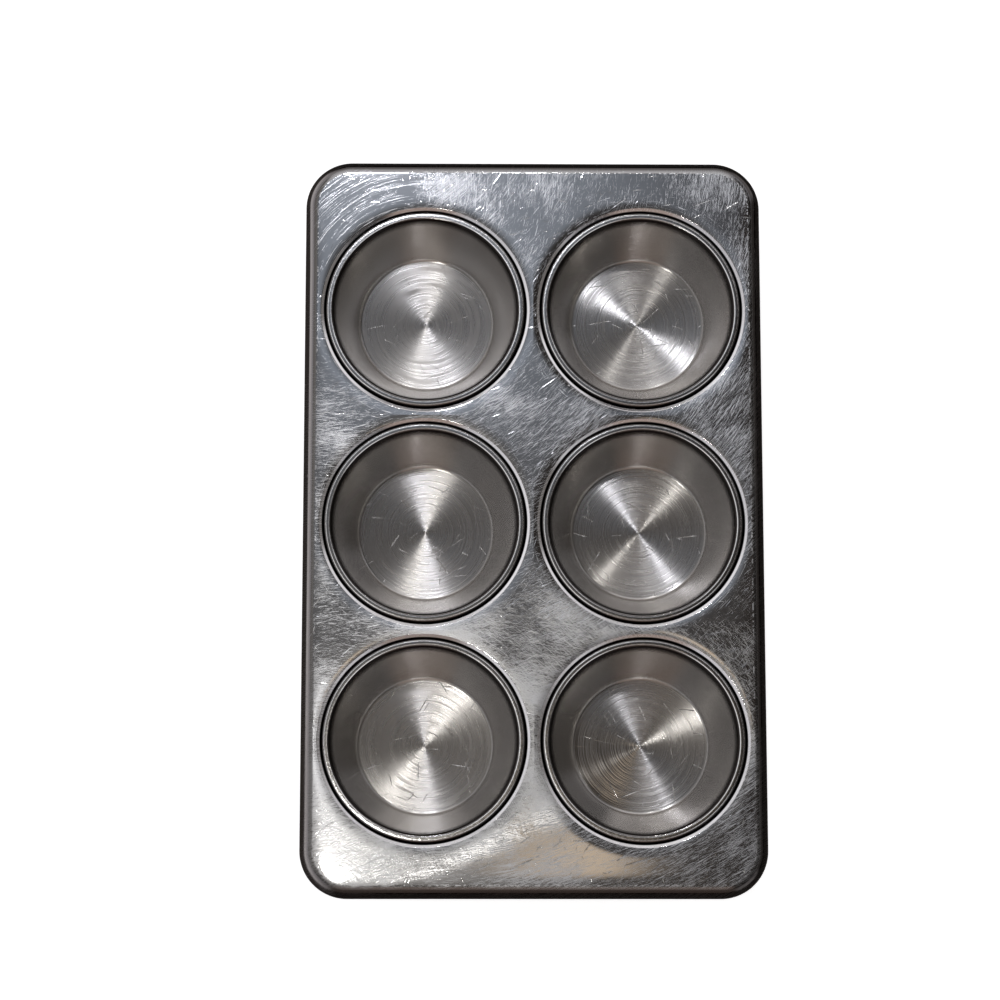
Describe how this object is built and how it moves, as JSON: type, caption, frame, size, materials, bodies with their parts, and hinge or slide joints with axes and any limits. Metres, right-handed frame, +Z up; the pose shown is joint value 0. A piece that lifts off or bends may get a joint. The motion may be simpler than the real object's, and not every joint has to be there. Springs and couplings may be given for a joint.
{
  "type": "muffin pan",
  "caption": "Stainless steel muffin pan: tapered round cups with rolled rims, locked by seams into a flat buffed plate with round corners and a rolled edge, for baking muffins and cupcakes.",
  "frame": {"origin": "middle of the pan on the plane that the floors of the cups stand on", "axes": "+X across the two columns of cups to the right, +Y along the rows of cups to the back, +Z up out of the cups' mouths"},
  "size_m": [0.176, 0.284, 0.0286],
  "materials": {
    "plate_steel": "buffed bright, with fine scratches from use and cleaning",
    "cup_steel": "satin drawn walls, spun floors with circular brush lines, polished rolled rims"
  },
  "bodies": {
    "root": {"frame_plate": "plate_steel", "cup_front_left": "cup_steel", "cup_front_right": "cup_steel", "cup_middle_left": "cup_steel", "cup_middle_right": "cup_steel", "cup_back_left": "cup_steel", "cup_back_right": "cup_steel"}
  },
  "joints": []
}
